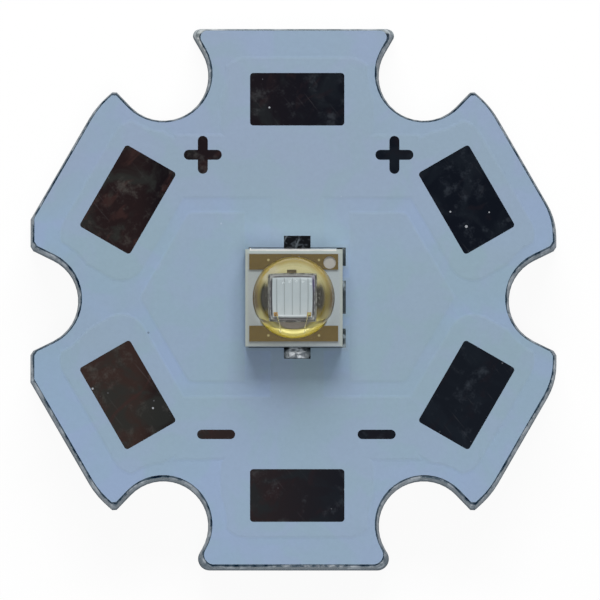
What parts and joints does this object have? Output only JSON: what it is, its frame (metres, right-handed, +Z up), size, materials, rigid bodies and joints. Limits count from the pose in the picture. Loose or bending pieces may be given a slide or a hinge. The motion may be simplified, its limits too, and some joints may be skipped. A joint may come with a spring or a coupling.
{
  "type": "star pcb power led",
  "caption": "Star-shaped aluminium circuit board with screw notches round its edge, solder pads on its arms and a domed power LED soldered at its centre.",
  "frame": {"origin": "centre of the board's underside", "axes": "+Z up through the LED, +Y towards the plus marks, +X to the right when seen from above with the plus marks at the top"},
  "size_m": [0.019, 0.0196, 0.0038],
  "materials": {
    "aluminium": "rolled sheet with a punched edge",
    "dielectric": "filled resin",
    "copper": "etched foil",
    "mask": "satin coat",
    "tin": "tarnished mirror",
    "solder": "bright",
    "ceramic": "fine matt",
    "gold": "satin plate",
    "chip": "polished",
    "electrode": "evaporated metal",
    "silicone": "clear, smooth"
  },
  "bodies": {
    "root": {"aluminium_core": "aluminium", "dielectric_layer": "dielectric", "anode_copper": "copper", "cathode_copper": "copper", "thermal_copper": "copper", "solder_mask": "mask", "wire_pad_top": "tin", "wire_pad_upper_left": "tin", "wire_pad_upper_right": "tin", "wire_pad_bottom": "tin", "wire_pad_lower_left": "tin", "wire_pad_lower_right": "tin", "plus_mark_left": "tin", "plus_mark_right": "tin", "minus_mark_left": "tin", "minus_mark_right": "tin", "solder_anode": "solder", "solder_cathode": "solder", "solder_thermal": "solder", "package_anode_pad": "gold", "package_cathode_pad": "gold", "package_thermal_pad": "gold", "ceramic_substrate": "ceramic", "via_anode_left": "gold", "via_anode_right": "gold", "via_cathode_left": "gold", "via_cathode_right": "gold", "anode_metal": "gold", "cathode_metal": "gold", "die_attach": "solder", "led_chip": "chip", "chip_electrode": "electrode", "bond_wire_left": "gold", "bond_wire_right": "gold", "lens": "silicone"}
  },
  "joints": []
}
